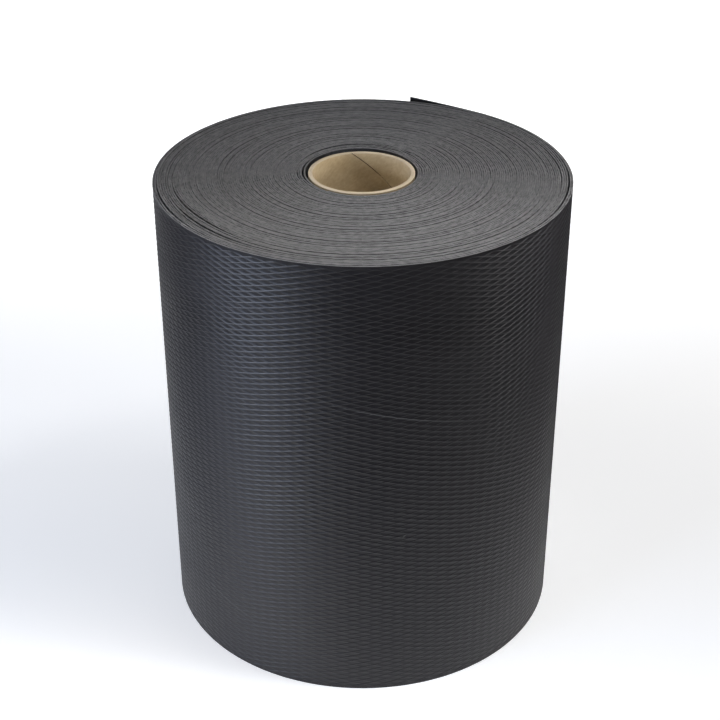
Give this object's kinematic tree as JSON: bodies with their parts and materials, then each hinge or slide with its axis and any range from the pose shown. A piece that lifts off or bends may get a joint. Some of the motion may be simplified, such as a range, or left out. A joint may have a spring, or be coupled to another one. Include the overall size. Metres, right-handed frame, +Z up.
{
  "type": "roll of damp proof course",
  "caption": "Roll of black embossed plastic damp proof course sheet wound on a cardboard tube, standing on its end with its free edge sprung a little off the roll.",
  "frame": {"origin": "on the axis of the tube's bore, at the floor that the roll stands on", "axes": "+Z up along the bore; +X to the right and +Y to the back of the picture's view"},
  "size_m": [0.2128, 0.2158, 0.251],
  "materials": {
    "sheet": "embossed satin",
    "cardboard": "plain paper"
  },
  "bodies": {
    "root": {"sheet_roll": "sheet", "core_tube": "cardboard"}
  },
  "joints": []
}
